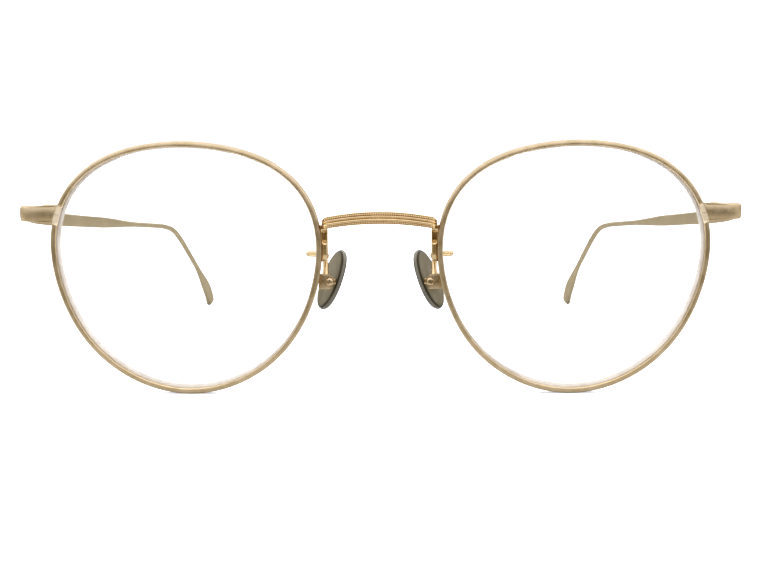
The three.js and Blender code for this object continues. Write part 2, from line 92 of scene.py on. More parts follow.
class Nodes:
    """The node tree of a material or a world, with short calls for the nodes they share. A
    value given to a call is a number, a colour or another node's output."""

    def __init__(self, owner, output="ShaderNodeOutputMaterial"):
        owner.use_nodes = True
        self.owner = owner
        self.tree = owner.node_tree
        self.tree.nodes.clear()
        self.output = self.add(output)

    def add(self, kind, **values):
        node = self.tree.nodes.new(kind)
        for key, value in values.items():
            setattr(node, key, value)
        return node

    def feed(self, node, values):
        """Sets or links the node's inputs, given by name or number."""
        for name, value in values.items():
            target = node.inputs[name]
            if isinstance(value, bpy.types.NodeSocket):
                self.tree.links.new(value, target)
            elif target.type == "RGBA":
                target.default_value = (*value, 1.0)
            else:
                target.default_value = value
        return node

    def shader(self, kind, values):
        return self.feed(self.add(kind), values).outputs[0]

    def finish(self, surface):
        self.feed(self.output, {"Surface": surface})
        return self.owner

    def noise(self, scale, detail=3.0, distortion=0.0):
        """Noise in the surface's own coordinates; scale is per metre along each axis."""
        where = self.add("ShaderNodeTexCoord").outputs["Object"]
        mapping = self.feed(self.add("ShaderNodeMapping"), {"Vector": where, "Scale": scale})
        values = {"Vector": mapping.outputs[0], "Scale": 1.0, "Detail": detail, "Distortion": distortion}
        return self.feed(self.add("ShaderNodeTexNoise"), values).outputs["Fac"]

    def span(self, source, low, high, to_low=0.0, to_high=1.0):
        """The source's range low to high, mapped to another range and held inside it."""
        node = self.add("ShaderNodeMapRange", interpolation_type="SMOOTHSTEP")
        limits = {"From Min": low, "From Max": high, "To Min": to_low, "To Max": to_high}
        return self.feed(node, {"Value": source, **limits}).outputs["Result"]

    def blend(self, factor, first, second):
        """From the first colour at factor 0 to the second at factor 1."""
        node = self.add("ShaderNodeMix", data_type="RGBA")
        return self.feed(node, {0: factor, 6: first, 7: second}).outputs[2]

    def mix(self, factor, first, second):
        """From the first shader at factor 0 to the second at factor 1."""
        return self.shader("ShaderNodeMixShader", {0: factor, 1: first, 2: second})

    def math(self, kind, first, second):
        node = self.add("ShaderNodeMath", operation=kind)
        return self.feed(node, {0: first, 1: second}).outputs[0]

    def bump(self, height, depth, under=None):
        """A relief of a depth in metres, on top of another bump if one is given."""
        node = self.feed(self.add("ShaderNodeBump"), {"Strength": 1.0, "Distance": depth, "Height": height})
        if under is not None:
            self.feed(node, {"Normal": under})
        return node.outputs["Normal"]


GRAZING_GOLD = (0.80, 0.74, 0.64)
EDGE_WEAR, EDGE_POLISH, EDGE_BRIGHTNESS = 0.6, 0.08, 1.12


def gold(name, light, dark, roughness, grain, grain_depth):
    """Plated metal, a little brighter and smoother on its worn edges. Its colour clouds
    between two tones. grain is the brushing's scale along x, depth and z, per metre."""
    nodes = Nodes(bpy.data.materials.new(name))
    brushing = nodes.noise(grain, 4.0)
    cloud = nodes.noise(even(420), 3.0, 0.4)
    fine = nodes.noise(even(9000), 2.0)
    tone = nodes.blend(nodes.span(cloud, 0.35, 0.68), dark, light)
    streaked = nodes.blend(nodes.span(brushing, 0.3, 0.75, 0.0, 0.35), tone, light)
    edge = nodes.span(nodes.add("ShaderNodeNewGeometry").outputs["Pointiness"], 0.515, 0.58)
    bright = tuple(min(1.0, channel * EDGE_BRIGHTNESS) for channel in light)
    rough = nodes.span(brushing, 0.25, 0.75, roughness - 0.06, roughness + 0.07)
    rough = nodes.math("ADD", rough, nodes.span(cloud, 0.3, 0.7, -0.03, 0.04))
    return nodes.finish(nodes.shader("ShaderNodeBsdfPrincipled", {
        "Metallic": 1.0,
        "Specular Tint": GRAZING_GOLD,
        "Base Color": nodes.blend(nodes.math("MULTIPLY", edge, EDGE_WEAR), streaked, bright),
        "Roughness": nodes.math("ADD", rough, nodes.math("MULTIPLY", edge, -EDGE_POLISH)),
        "Normal": nodes.bump(brushing, grain_depth, nodes.bump(fine, grain_depth * 0.4)),
    }))


ACRYLIC_IOR = 1.49
ACRYLIC, COATING, LAMP_TINT = (0.985, 0.995, 0.99), (0.93, 1.0, 0.96), (0.95, 0.96, 0.955)


def clear_lens(name):
    """Clear acrylic with a faint coating colour in its mirror image; lamps pass through."""
    nodes = Nodes(bpy.data.materials.new(name))
    smear = nodes.noise((90, 90, 60), 4.0, 1.2)
    glass = nodes.shader("ShaderNodeBsdfPrincipled", {
        "Transmission Weight": 1.0,
        "IOR": ACRYLIC_IOR,
        "Specular Tint": COATING,
        "Base Color": ACRYLIC,
        "Roughness": nodes.span(smear, 0.45, 0.8, 0.004, 0.02),
    })
    clear = nodes.shader("ShaderNodeBsdfTransparent", {"Color": LAMP_TINT})
    path = nodes.add("ShaderNodeLightPath")
    return nodes.finish(nodes.mix(path.outputs["Is Shadow Ray"], glass, clear))


GROUND_DARK, GROUND_LIGHT = (0.68, 0.615, 0.54), (0.78, 0.725, 0.65)
GROUND_SHINES_THROUGH = 0.55


def ground_edge(name):
    """The lens's edge, ground matt: pale, and lit through by what stands behind it."""
    nodes = Nodes(bpy.data.materials.new(name))
    cloud = nodes.noise(even(300), 2.0)
    values = {
        "Color": nodes.blend(nodes.span(cloud, 0.3, 0.7), GROUND_DARK, GROUND_LIGHT),
        "Normal": nodes.bump(nodes.noise(even(5200), 3.0), 0.000004),
    }
    surface = nodes.shader("ShaderNodeBsdfDiffuse", values)
    through = nodes.shader("ShaderNodeBsdfTranslucent", values)
    return nodes.finish(nodes.mix(GROUND_SHINES_THROUGH, surface, through))


SMOKE_DARK, SMOKE_LIGHT = (0.132, 0.106, 0.056), (0.185, 0.157, 0.092)
# Painted shade for the dark line near the pad's border, and a painted highlight for its paler edge.
PAINTED_BORDER_SHADE, PAINTED_EDGE_HIGHLIGHT = (0.030, 0.025, 0.014), (0.24, 0.22, 0.17)
SMOKE_GLOSS = (1.0, 0.92, 0.72)


def smoked_pad(name):
    """Smoke-coloured plastic, glossy and cloudy, with painted shade as a dark line near its border and a
    painted highlight as a paler edge. The mesh's border attribute runs from 0 at the middle to 1 at the edge."""
    nodes = Nodes(bpy.data.materials.new(name))
    cloud = nodes.noise((260, 260, 180), 3.0, 0.6)
    speck = nodes.noise(even(2600), 2.0)
    border = nodes.add("ShaderNodeAttribute", attribute_name="border").outputs["Fac"]
    tone = nodes.blend(nodes.span(cloud, 0.3, 0.7), SMOKE_DARK, SMOKE_LIGHT)
    # Painted shade: a dark line near the border; then a painted highlight along the very edge.
    tone = nodes.blend(nodes.span(border, 0.85, 0.95, 0.0, 0.95), tone, PAINTED_BORDER_SHADE)
    return nodes.finish(nodes.shader("ShaderNodeBsdfPrincipled", {
        "Base Color": nodes.blend(nodes.span(border, 0.965, 0.985, 0.0, 0.8), tone, PAINTED_EDGE_HIGHLIGHT),
        "Roughness": nodes.span(speck, 0.4, 0.8, 0.07, 0.13),
        "IOR": 1.36,
        "Specular IOR Level": 0.25,
        "Specular Tint": SMOKE_GLOSS,
        "Transmission Weight": 0.06,
        "Normal": nodes.bump(speck, 0.000002),
    }))


# Light and dark tone, roughness, grain per metre, and the grain's depth in metres.
BRUSHED = gold("brushed_gold", (0.585, 0.45, 0.27), (0.48, 0.36, 0.195), 0.34, even(5200), 0.000010)
LONG_GRAIN = (7000, 420, 5200)
BRUSHED_LONG = gold(
    "brushed_gold_long", (0.47, 0.375, 0.218), (0.39, 0.305, 0.168), 0.44, LONG_GRAIN, 0.000008
)
POLISHED = gold("polished_gold", (0.69, 0.505, 0.27), (0.58, 0.41, 0.195), 0.21, even(3200), 0.000004)
FASTENER = gold("fastener_gold", (0.68, 0.52, 0.31), (0.58, 0.43, 0.24), 0.24, even(2600), 0.000004)
# A paler gold, painted on the rim's face beside its split as a highlight for the light the sloped face
# catches there.
PAINTED_HIGHLIGHT = gold("painted_highlight_gold", (0.90, 0.76, 0.55), (0.82, 0.67, 0.46), 0.46, even(5200), 0.000006)
LENS = clear_lens("clear_lens")
GROUND_EDGE = ground_edge("ground_edge")
PAD = smoked_pad("smoked_pad")

# ---------------- mesh making


def mesh_object(verts, faces):
    """A closed shell as an object, in millimetres, with its faces turned outwards."""
    mesh = bpy.data.meshes.new("shell")
    mesh.from_pydata([tuple(v) for v in verts], [], faces)
    shell = bmesh.new()
    shell.from_mesh(mesh)
    bmesh.ops.remove_doubles(shell, verts=shell.verts, dist=1e-5)
    bmesh.ops.recalc_face_normals(shell, faces=shell.faces)
    shell.to_mesh(mesh)
    shell.free()
    obj = bpy.data.objects.new("shell", mesh)
    scene.collection.objects.link(obj)
    return obj


def ring_faces(rings, start=0):
    """Four-sided faces between successive rings, whose points are numbered from start."""
    count = len(rings[0])
    faces = []
    for i in range(len(rings) - 1):
        here, there = start + i * count, start + (i + 1) * count
        for k in range(count):
            after = (k + 1) % count
            faces.append((here + k, here + after, there + after, there + k))
    return faces


def loft(rings):
    """Faces between successive rings of points, with a cap at each end."""
    count = len(rings[0])
    verts = [point for ring in rings for point in ring]
    first_cap = tuple(range(count))
    last_cap = tuple(range((len(rings) - 1) * count, len(rings) * count))
    return mesh_object(verts, [*ring_faces(rings), first_cap, last_cap])


def bake(obj):
    """Applies the object's modifiers to its mesh."""
    graph = bpy.context.evaluated_depsgraph_get()
    made = bpy.data.meshes.new_from_object(obj.evaluated_get(graph))
    obj.modifiers.clear()
    obj.data = made
    return obj


def joined(obj, other, operation="UNION"):
    """Adds another piece to the object, and uses it up."""
    change = obj.modifiers.new("join", "BOOLEAN")
    change.operation = operation
    change.object = other
    change.solver = "EXACT"
    bpy.context.view_layer.update()
    bake(obj)
    bpy.data.objects.remove(other)
    return obj


def cut(obj, other):
    """Takes another piece's room out of the object, and uses it up."""
    return joined(obj, other, "DIFFERENCE")


def rounded(obj, width, segments=3, angle=32):
    """Rounds the edges that are sharper than an angle."""
    edge = obj.modifiers.new("edge", "BEVEL")
    edge.width = width
    edge.segments = segments
    edge.limit_method = "ANGLE"
    edge.angle_limit = math.radians(angle)
    edge.miter_outer = "MITER_ARC"
    bpy.context.view_layer.update()
    return bake(obj)


def moved(obj, matrix):
    """Moves the mesh's points; the object itself stays at the origin."""
    obj.data.transform(matrix)
    return obj


def box(low, high):
    (x0, y0, z0), (x1, y1, z1) = low, high
    ring = [(x0, y0), (x1, y0), (x1, y1), (x0, y1)]
    return loft([[(x, y, z0) for x, y in ring], [(x, y, z1) for x, y in ring]])


def lathe(profile, sides=40):
    """Rings that turn (radius, height) points about the upright axis."""
    turns = [2 * math.pi * k / sides for k in range(sides)]
    return [[(r * math.cos(a), r * math.sin(a), height) for a in turns] for r, height in profile]


def front_plate(outline, front, back):
    """An outline in x and z, made into a plate that faces the front."""
    return loft([[(x, depth, z) for x, z in outline] for depth in (front, back)])


# The nodes that don't belong to the front.
BODY_OF = {
    "temple": "temple_arm",
    "hinge_temple": "temple_arm",
    "hinge_washer_upper": "temple_arm",
    "hinge_washer_lower": "temple_arm",
    "nose_pad": "pad_unit",
    "pad_stem": "pad_unit",
}


def finished(obj, node, side, material, sharp=32):
    """Moves a piece drawn for the +X side into the frame, and lets it stand for its CAD node."""
    sign = -1 if side == "right" else 1
    move = Matrix.Translation((0, FRONT_Y, 0)) @ Matrix.Diagonal((sign * MM, MM, MM, 1))
    obj.data.transform(move)
    if sign < 0:
        obj.data.flip_normals()
    obj.data.materials.clear()
    obj.data.materials.append(material)
    obj.data.shade_smooth()
    obj.data.set_sharp_from_angle(angle=math.radians(sharp))
    full = f"{node}_{side}" if side else node
    obj.name = f"fine_{full}"
    obj.data.name = obj.name
    body = f"{BODY_OF[node]}_{side}" if node in BODY_OF else "front"
    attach(obj, body)
    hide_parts(full)
    return obj


def smooth(value, low, high):
    """Rises smoothly from 0 at low to 1 at high."""
    t = min(1.0, max(0.0, (value - low) / (high - low)))
    return t * t * (3 - 2 * t)


def between(value, rise_start, rise_end, fall_start, fall_end):
    """1 inside a range and 0 outside it, with smooth shoulders."""
    return smooth(value, rise_start, rise_end) * (1 - smooth(value, fall_start, fall_end))


def spline(points, steps):
    """A smooth curve through the points, with so many steps between each two."""
    made = []
    last = len(points) - 1
    for i in range(last):
        before = points[max(0, i - 1)]
        after = points[min(last, i + 2)]
        for k in range(steps + (i == last - 1)):
            t = k / steps
            weights = (
                -0.5 * t + t * t - 0.5 * t**3,
                1 - 2.5 * t * t + 1.5 * t**3,
                0.5 * t + 2 * t * t - 1.5 * t**3,
                -0.5 * t * t + 0.5 * t**3,
            )
            four = (before, points[i], points[i + 1], after)
            place = Vector((0,) * len(points[0]))
            for weight, point in zip(weights, four):
                place += weight * Vector(point)
            made.append(place)
    return made


# ---------------- rims and lenses

HALF_PITCH = 36.0
RIM_FRONT = 2.6
RIM_DEPTH = 2.6
WRAP = math.radians(1.5)
# The eye's outline in millimetres: its radius is a sum of waves round it, each with its size,
# its order, and cosine or sine.
EYE_TERMS = (
    (24.59, 0, "c"), (0.86, 2, "c"), (-0.265, 2, "s"), (0.91, 3, "s"),
    (-0.24, 4, "c"), (0.07, 5, "s"), (-0.08, 6, "c"),
)
EYE_STEPS = 288
EYE_ANGLES = [2 * math.pi * i / EYE_STEPS for i in range(EYE_STEPS)]


def eye_radius(angle):
    wave = {"c": math.cos, "s": math.sin}
    return sum(size * wave[kind](order * angle) for size, order, kind in EYE_TERMS)


# The eye's centre stands so high that the rim's lowest point is where the CAD rim has it.
EYE_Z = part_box("rim_left")[0].z / MM - min(eye_radius(a) * math.sin(a) for a in EYE_ANGLES)


def eye_point(angle, inset, depth):
    """A point of the +X eye, inset from its outline, at a depth behind the rim's front. The
    angle is 0 towards the bridge and grows over the top."""
    radius = eye_radius(angle) - inset
    x, z = -radius * math.cos(angle), radius * math.sin(angle)
    turned_x = x * math.cos(WRAP) - depth * math.sin(WRAP)
    turned_depth = x * math.sin(WRAP) + depth * math.cos(WRAP)
    return Vector((HALF_PITCH + turned_x, RIM_FRONT + turned_depth, EYE_Z + z))


def eye_angle(z, temple_side, inset=0.0):
    """Where the outline, or a line inset from it, reaches a height; found in rounds."""
    angle = math.pi if temple_side else 0.0
    for _ in range(20):
        rise = math.asin((z - EYE_Z) / (eye_radius(angle) - inset))
        angle = math.pi - rise if temple_side else rise
    return angle


# Inset from the outline, and depth from the front. The face is softly crowned and stands
# highest near the lens; beside the endpiece it is filed to slope steeply inwards instead.
FACE = (
    (0.0, 0.62), (0.0, 0.36), (0.015, 0.26), (0.05, 0.18), (0.12, 0.115), (0.22, 0.075), (0.34, 0.047),
    (0.48, 0.02), (0.62, 0.005), (0.74, 0.0), (0.84, 0.015), (0.92, 0.06), (0.975, 0.13), (1.0, 0.25),
    (1.0, 0.70),
)
FILED_FACE = (
    (-0.04, 0.62), (-0.05, 0.36), (-0.045, 0.18), (-0.03, 0.04), (0.01, -0.05), (0.07, -0.07),
    (0.14, -0.04), (0.26, 0.05), (0.38, 0.15), (0.50, 0.25), (0.63, 0.35), (0.76, 0.46), (0.88, 0.55),
    (0.97, 0.63), (1.0, 0.74),
)
GROOVE_AND_BACK = (
    (0.5, 1.27), (0.5, 1.33), (1.0, 1.90), (1.0, 2.28), (0.98, 2.40), (0.91, 2.50), (0.79, 2.57),
    (0.6, 2.60), (0.34, 2.58), (0.18, 2.51), (0.06, 2.37), (0.0, 2.18),
)
# A point of the face that lies deeper than this is on its side.
SIDE_DEPTH = 0.6

# The split in the rim, at the height of the endpiece's middle, and the filed stretch beside
# it, as distances along the rim.
END_Z = 33.8
RIM_SPLIT = 0.05
FILED_HALF, FILED_END = 1.5, 2.1
FILED_LEAN = 0.11
# The painted highlight, a paler gold standing in for the light this sloped stretch catches, reaches this far
# along the rim, from this point of the face inwards.
PAINTED_HIGHLIGHT_REACH = 1.9
PAINTED_HIGHLIGHT_FROM = 5
# The finer steps there, and the turn in radians that they take up.
FINE_STEPS, FINE_TURN = 28, 0.14


def rim_section(angle, run):
    """The rim's section at an angle; run is the distance up the rim from its split."""
    filed = 1 - smooth(abs(run), FILED_HALF, FILED_END)
    points = []
    for (inset, depth), (filed_inset, filed_depth) in zip(FACE, FILED_FACE):
        lean = FILED_LEAN * run * filed if depth < SIDE_DEPTH else 0.0
        inset += (filed_inset - inset) * filed
        depth += (filed_depth - depth) * filed + lean
        points.append((inset, depth))
    return [eye_point(angle, inset, depth) for inset, depth in (*points, *GROOVE_AND_BACK)]


def make_rim(side):
    """The rim wire, once round from its split, with finer steps beside the split."""
    split = eye_angle(END_Z, True)
    radius = eye_radius(split)
    gap = RIM_SPLIT / radius
    near = [gap / 2 + FINE_TURN * (k / FINE_STEPS) ** 1.2 for k in range(FINE_STEPS)]
    far = [FINE_TURN + (2 * math.pi - 2 * FINE_TURN) * i / EYE_STEPS for i in range(EYE_STEPS + 1)]
    turns = [*near, *far, *(2 * math.pi - turn for turn in reversed(near))]
    runs = [radius * (2 * math.pi - turn if turn > math.pi else -turn) for turn in turns]
    sections = [rim_section(split + turn, run) for turn, run in zip(turns, runs)]
    rim = finished(loft(sections), "rim", side, BRUSHED, 28)
    # The second material is the paler gold painted beside the split as a highlight.
    rim.data.materials.append(PAINTED_HIGHLIGHT)
    count = len(sections[0])
    for i, run in enumerate(runs[:-1]):
        if abs(run) < PAINTED_HIGHLIGHT_REACH:
            for k in range(PAINTED_HIGHLIGHT_FROM, len(FACE) - 1):
                rim.data.polygons[i * count + k].material_index = 1
    return rim


LENS_CURVE = 110.0
LENS_THICK = 1.3
LENS_INSET = 1.1
LENS_SHARES = (0.0, 0.08, 0.2, 0.35, 0.5, 0.65, 0.78, 0.88, 0.95, 0.99, 1.0)
# The rounded V on the lens's edge: inset, and depth from the rim's middle.
LENS_EDGE = (
    (LENS_INSET - 0.03, -0.36), (LENS_INSET - 0.16, -0.2), (0.82, -0.04), (0.80, 0.0),
    (0.82, 0.04), (LENS_INSET - 0.16, 0.2), (LENS_INSET - 0.03, 0.36),
)
LENS_EDGE_RADIUS = 23.6
CHAMFER_LEAST, CHAMFER_MORE = 0.10, 0.62
CHAMFER_TOWARDS = math.radians(220)


def sag(radius):
    return LENS_CURVE - math.sqrt(LENS_CURVE**2 - radius**2)


LENS_APEX = RIM_DEPTH / 2 - LENS_THICK / 2 - sag(LENS_EDGE_RADIUS)


def chamfer_width(angle):
    """The ground chamfer on the lens's back edge, widest on the outer lower side."""
    return CHAMFER_LEAST + CHAMFER_MORE * smooth(math.cos(angle - CHAMFER_TOWARDS), -0.75, 0.75)


def lens_ring(share, back):
    """A ring of the front face or, with back 1, of the back face; share is 1 at its edge."""
    ring = []
    for angle in EYE_ANGLES:
        radius = eye_radius(angle)
        edge_inset = LENS_INSET + back * chamfer_width(angle)
        inset = radius - share * (radius - edge_inset)
        depth = LENS_APEX + sag(radius - inset) + back * LENS_THICK
        ring.append(eye_point(angle, inset, depth))
    return ring


def make_lens(side):
    """A meniscus whose edge sits in the rim's groove; the edge and the chamfer are ground."""
    front = [lens_ring(share, 0) for share in LENS_SHARES]
    edge = [[eye_point(a, inset, RIM_DEPTH / 2 + depth) for a in EYE_ANGLES] for inset, depth in LENS_EDGE]
    back = [lens_ring(share, 1) for share in reversed(LENS_SHARES)]
    lens = finished(loft([*front, *edge, *back]), "lens", side, LENS, 40)
    lens.data.materials.append(GROUND_EDGE)
    first, last = (len(front) - 1) * EYE_STEPS, (len(front) + len(edge)) * EYE_STEPS
    for face in lens.data.polygons[first:last]:
        face.material_index = 1
    return lens


# ---------------- bridge and legs

BRIDGE_HALF = 10.7
BRIDGE_TOP, BRIDGE_TOP_FALL = 34.22, 1.15
BRIDGE_LOW, BRIDGE_LOW_FALL = 31.9, 1.0
END_ROUND_START, END_ROUND = 9.6, 0.6
BRIDGE_THICK = 1.7
HOOK_START, HOOK = 8.7, 1.9
BRIDGE_STEPS = 120
# The bar's face is drawn for this height, and stretched a little to fill its real one. A
# bead has its drop from the top and its radius in the same units.
DRAWN_HEIGHT = 2.2
UPPER_BEAD, LOWER_BEAD = (0.39, 0.185), (1.88, 0.15)
BEAD_PITCH, BEAD_DEPTH, BEAD_END = 0.33, 0.22, 0.7


def bridge_edges(x):
    """The bar's upper and lower edge at x; the upper one rounds down at the ends."""
    share = x / BRIDGE_HALF
    past = max(0.0, abs(x) - END_ROUND_START) / (BRIDGE_HALF - END_ROUND_START)
    top = BRIDGE_TOP - BRIDGE_TOP_FALL * share**2 - END_ROUND * past**2
    return top, BRIDGE_LOW - BRIDGE_LOW_FALL * share**2


def hook(x):
    """How far the bar's ends turn back towards the rims."""
    past = max(0.0, abs(x) - HOOK_START) / (BRIDGE_HALF - HOOK_START)
    return HOOK * past * past


def bridge_section(x):
    """The bar's outline at x: from the top a sunk beaded band, a narrow ridge, a groove, a
    broader smooth band and a second beaded band."""
    top, low = bridge_edges(x)
    unit = (top - low) / DRAWN_HEIGHT
    drops = [
        (0.03, 0.17), (0.09, 0.12), (0.14, 0.14), (0.18, 0.22), (0.60, 0.22), (0.64, 0.14), (0.68, 0.05),
        (0.75, 0.005), (0.84, 0.0), (0.93, 0.03), (1.00, 0.10), (1.05, 0.24), (1.10, 0.30), (1.15, 0.24),
        (1.20, 0.12), (1.28, 0.05), (1.42, 0.02), (1.56, 0.05), (1.66, 0.12), (1.72, 0.22), (2.04, 0.24),
        (2.08, 0.19), (2.14, 0.18), (2.18, 0.24),
    ]
    front = [(top - drop * unit, depth) for drop, depth in drops]
    back = [
        (low, 0.4), (low, 0.8), (low + 0.06, 1.25), (low + 0.22, 1.56), (low + 0.5, BRIDGE_THICK),
        (top - 0.5, BRIDGE_THICK), (top - 0.22, 1.56), (top - 0.06, 1.25), (top, 0.8), (top, 0.3),
    ]
    return [(x, depth + hook(x), z) for z, depth in front + back]


def bead(centre, radius, sides=10, levels=6):
    """Rings of a small ball, from its front to its back."""
    turns = [2 * math.pi * n / sides for n in range(sides)]
    rings = []
    for k in range(levels + 1):
        angle = math.pi * k / levels
        spread, depth = radius * math.sin(angle), -radius * math.cos(angle)
        ring = [centre + Vector((spread * math.cos(t), depth, spread * math.sin(t))) for t in turns]
        rings.append(ring)
    return rings


def make_bridge():
    """The bar, and its two rows of beads as a second piece."""
    stations = [BRIDGE_HALF * (2 * i / BRIDGE_STEPS - 1) for i in range(BRIDGE_STEPS + 1)]
    bar = loft([bridge_section(x) for x in stations])
    finished(bar, "bridge", "", POLISHED, 30)
    verts, faces = [], []
    count = int(2 * (BRIDGE_HALF - BEAD_END) / BEAD_PITCH)
    for i in range(count + 1):
        x = (i - count / 2) * BEAD_PITCH
        top, low = bridge_edges(x)
        unit = (top - low) / DRAWN_HEIGHT
        for drop, radius in (UPPER_BEAD, LOWER_BEAD):
            rings = bead(Vector((x, BEAD_DEPTH + hook(x), top - drop * unit)), radius * unit)
            faces += ring_faces(rings, len(verts))
            verts += [point for ring in rings for point in ring]
    beads = mesh_object(verts, faces)
    finished(beads, "bridge", "", POLISHED, 60)
    beads.name = "bridge_beading"


LEG_LOW, LEG_TOP = 24.8, 31.6
LEG_FRONT, LEG_BACK = 2.4, 4.4
LEG_INNER = 9.6
LEG_STEPS = 48
LEG_HOLLOW, HOLLOW_HEIGHTS = 0.62, (28.0, 28.7, 30.2, 30.9)
LEG_RIDGE, RIDGE_HEIGHTS = 0.18, (25.5, 26.3, 28.3, 28.8)
# How far a soldered piece runs into the rim's outline.
SOLDER = 0.05


def leg_section(z):
    """The strap's section at a height; its rim side follows the rim."""
    outer = eye_point(eye_angle(z, False), 0.0, 0.8).x + SOLDER
    inner = LEG_INNER + 0.10 * smooth(z, 30.4, LEG_TOP) + 0.22 * (1 - smooth(z, LEG_LOW, 25.6))
    middle = (inner + outer) / 2
    hollow = LEG_HOLLOW * between(z, *HOLLOW_HEIGHTS)
    ridge = LEG_RIDGE * between(z, *RIDGE_HEIGHTS)
    front = LEG_FRONT + 0.22 * (1 - smooth(z, 25.1, 26.0))
    back = LEG_BACK - 0.25 * smooth(z, 26.5, 28.5)
    outline = [
        (inner, front + 0.28), (inner + 0.08, front + 0.1), (inner + 0.22, front),
        (inner + 0.32, front + hollow * 0.5 - ridge * 0.3), (middle, front + hollow - ridge),
        (outer - 0.34, front + hollow * 0.6), (outer - 0.16, front + 0.1), (outer, front + 0.3),
        (outer, back - 0.25), (outer - 0.12, back - 0.05), (outer - 0.3, back),
        (inner + 0.3, back), (inner + 0.1, back - 0.08), (inner, back - 0.3),
    ]
    return [(x, depth, z) for x, depth in outline]


def make_leg(side):
    """A strap beside the rim with a long hollow in its upper face and a ridge below."""
    heights = [LEG_LOW + (LEG_TOP - LEG_LOW) * i / LEG_STEPS for i in range(LEG_STEPS + 1)]
    leg = rounded(loft([leg_section(z) for z in heights]), 0.1, 2, 50)
    return finished(leg, "bridge_leg", side, POLISHED, 34)


ARM_RADIUS = 0.52
LEG_FLARE, BOX_FLARE = 0.14, 0.10
# From the leg, out behind the lens, round a U-turn, and down to the pad box.
ARM_ROUTE = (
    (10.05, 4.4, 25.7), (10.35, 5.6, 25.9), (11.7, 6.0, 25.95), (13.0, 6.3, 25.95), (13.45, 7.0, 25.95),
    (12.85, 7.7, 25.9), (11.4, 7.75, 25.7), (10.5, 7.3, 25.0), (10.2, 6.5, 24.0), (10.2, 6.0, 22.0),
)


def tube(path, radius_at, sides=20):
    """A round bar along a path; radius_at gives its radius at each share of the length."""
    rings = []
    across = Vector((0, 0, 1))
    for i, point in enumerate(path):
        ahead = path[min(i + 1, len(path) - 1)] - path[max(i - 1, 0)]
        ahead.normalize()
        across = (across - ahead * across.dot(ahead)).normalized()
        other = ahead.cross(across)
        radius = radius_at(i / (len(path) - 1))
        turns = [2 * math.pi * k / sides for k in range(sides)]
        rings.append([point + radius * (across * math.cos(a) + other * math.sin(a)) for a in turns])
    return loft(rings)


def arm_radius(share):
    """The wire is thicker where it is soldered to the leg and to the box."""
    flare = LEG_FLARE * (1 - smooth(share, 0.0, 0.09)) + BOX_FLARE * smooth(share, 0.93, 1.0)
    return ARM_RADIUS + flare


def make_pad_arm(side):
    arm = rounded(tube(spline(ARM_ROUTE, 8), arm_radius), 0.12, 2, 50)
    return finished(arm, "pad_arm", side, POLISHED, 40)


# ---------------- nose pads and their boxes

SCREW_X, SCREW_Z = 9.5, 20.8
BOX_INNER, BOX_OUTER = 9.0, 11.5
BOX_FRONT, BOX_BACK = 5.1, 6.9
BOX_WALL = 0.45
BOX_HALF = 1.4
CORNER, SMALL_CORNER = 0.9, 0.35
SCREW_HOLE, STEM_BORE = 0.5, 0.48
# How far a cutting tool reaches past what it cuts.
BEYOND = 3


def to_depth(start, facing=1):
    """Lays a shape drawn up its axis along the depth at the pad screw: it begins at a depth
    and runs backwards, or forwards when facing is -1."""
    return Matrix(((1, 0, 0, SCREW_X), (0, 0, facing, start), (0, -facing, 0, SCREW_Z), (0, 0, 0, 1)))


def box_outline():
    """The cheeks' outline: square to the rim, with one well rounded upper corner."""
    low, high = SCREW_Z - BOX_HALF, SCREW_Z + BOX_HALF
    outline = [(BOX_OUTER, low), (BOX_OUTER, high)]
    corners = ((CORNER, high - CORNER, 90, 8), (SMALL_CORNER, low + SMALL_CORNER, 180, 4))
    for radius, centre, start, steps in corners:
        for k in range(steps + 1):
            angle = math.radians(start + 90 * k / steps)
            outline.append((BOX_INNER + radius + radius * math.cos(angle), centre + radius * math.sin(angle)))
    return outline


def make_pad_box(side):
    """Two cheeks and a wall beside the rim, with the screw's hole through both cheeks."""
    block = front_plate(box_outline(), BOX_FRONT, BOX_BACK)
    channel = box(
        (BOX_INNER - 1, BOX_FRONT + BOX_WALL, SCREW_Z - BEYOND),
        (BOX_OUTER - BOX_WALL, BOX_BACK - BOX_WALL, SCREW_Z + BEYOND),
    )
    cut(block, channel)
    hole = loft(lathe([(SCREW_HOLE, -1), (SCREW_HOLE, BEYOND)], 32))
    cut(block, moved(hole, to_depth(BOX_FRONT)))
    rounded(block, 0.09, 3, 35)
    return finished(block, "pad_box", side, BRUSHED, 36)


SLOT_TURN = 20
SLOT_WIDTH, SLOT_LENGTH, CROSS_LENGTH, SLOT_DEPTH = 0.3, 2.6, 1.35, 0.55


def screw(head_radius, head_height, shank_radius, shank_length, crossed=False):
    """A screw with a low domed head, drawn up its axis with its head's foot at height 0. Its
    slot, or its cross, is in proportion to the head."""
    dome = ((1.0, 0.45), (0.96, 0.68), (0.84, 0.86), (0.6, 0.96), (0.3, 1.0), (0.0, 1.0))
    profile = [
        (0.0, -shank_length), (shank_radius - 0.1, -shank_length), (shank_radius, -shank_length + 0.1),
        (shank_radius, 0.0), (head_radius - 0.05, 0.0), (head_radius, 0.05),
        *((head_radius * wide, head_height * tall) for wide, tall in dome),
    ]
    made = loft(lathe(profile, 40))
    half_width = head_radius * SLOT_WIDTH / 2
    half_length = head_radius * (CROSS_LENGTH if crossed else SLOT_LENGTH) / 2
    floor = head_height * (1 - SLOT_DEPTH)
    for turn in (0, 90) if crossed else (0,):
        tool = box((-half_length, -half_width, floor), (half_length, half_width, head_height + 1))
        cut(made, moved(tool, Matrix.Rotation(math.radians(turn + SLOT_TURN), 4, "Z")))
    return made


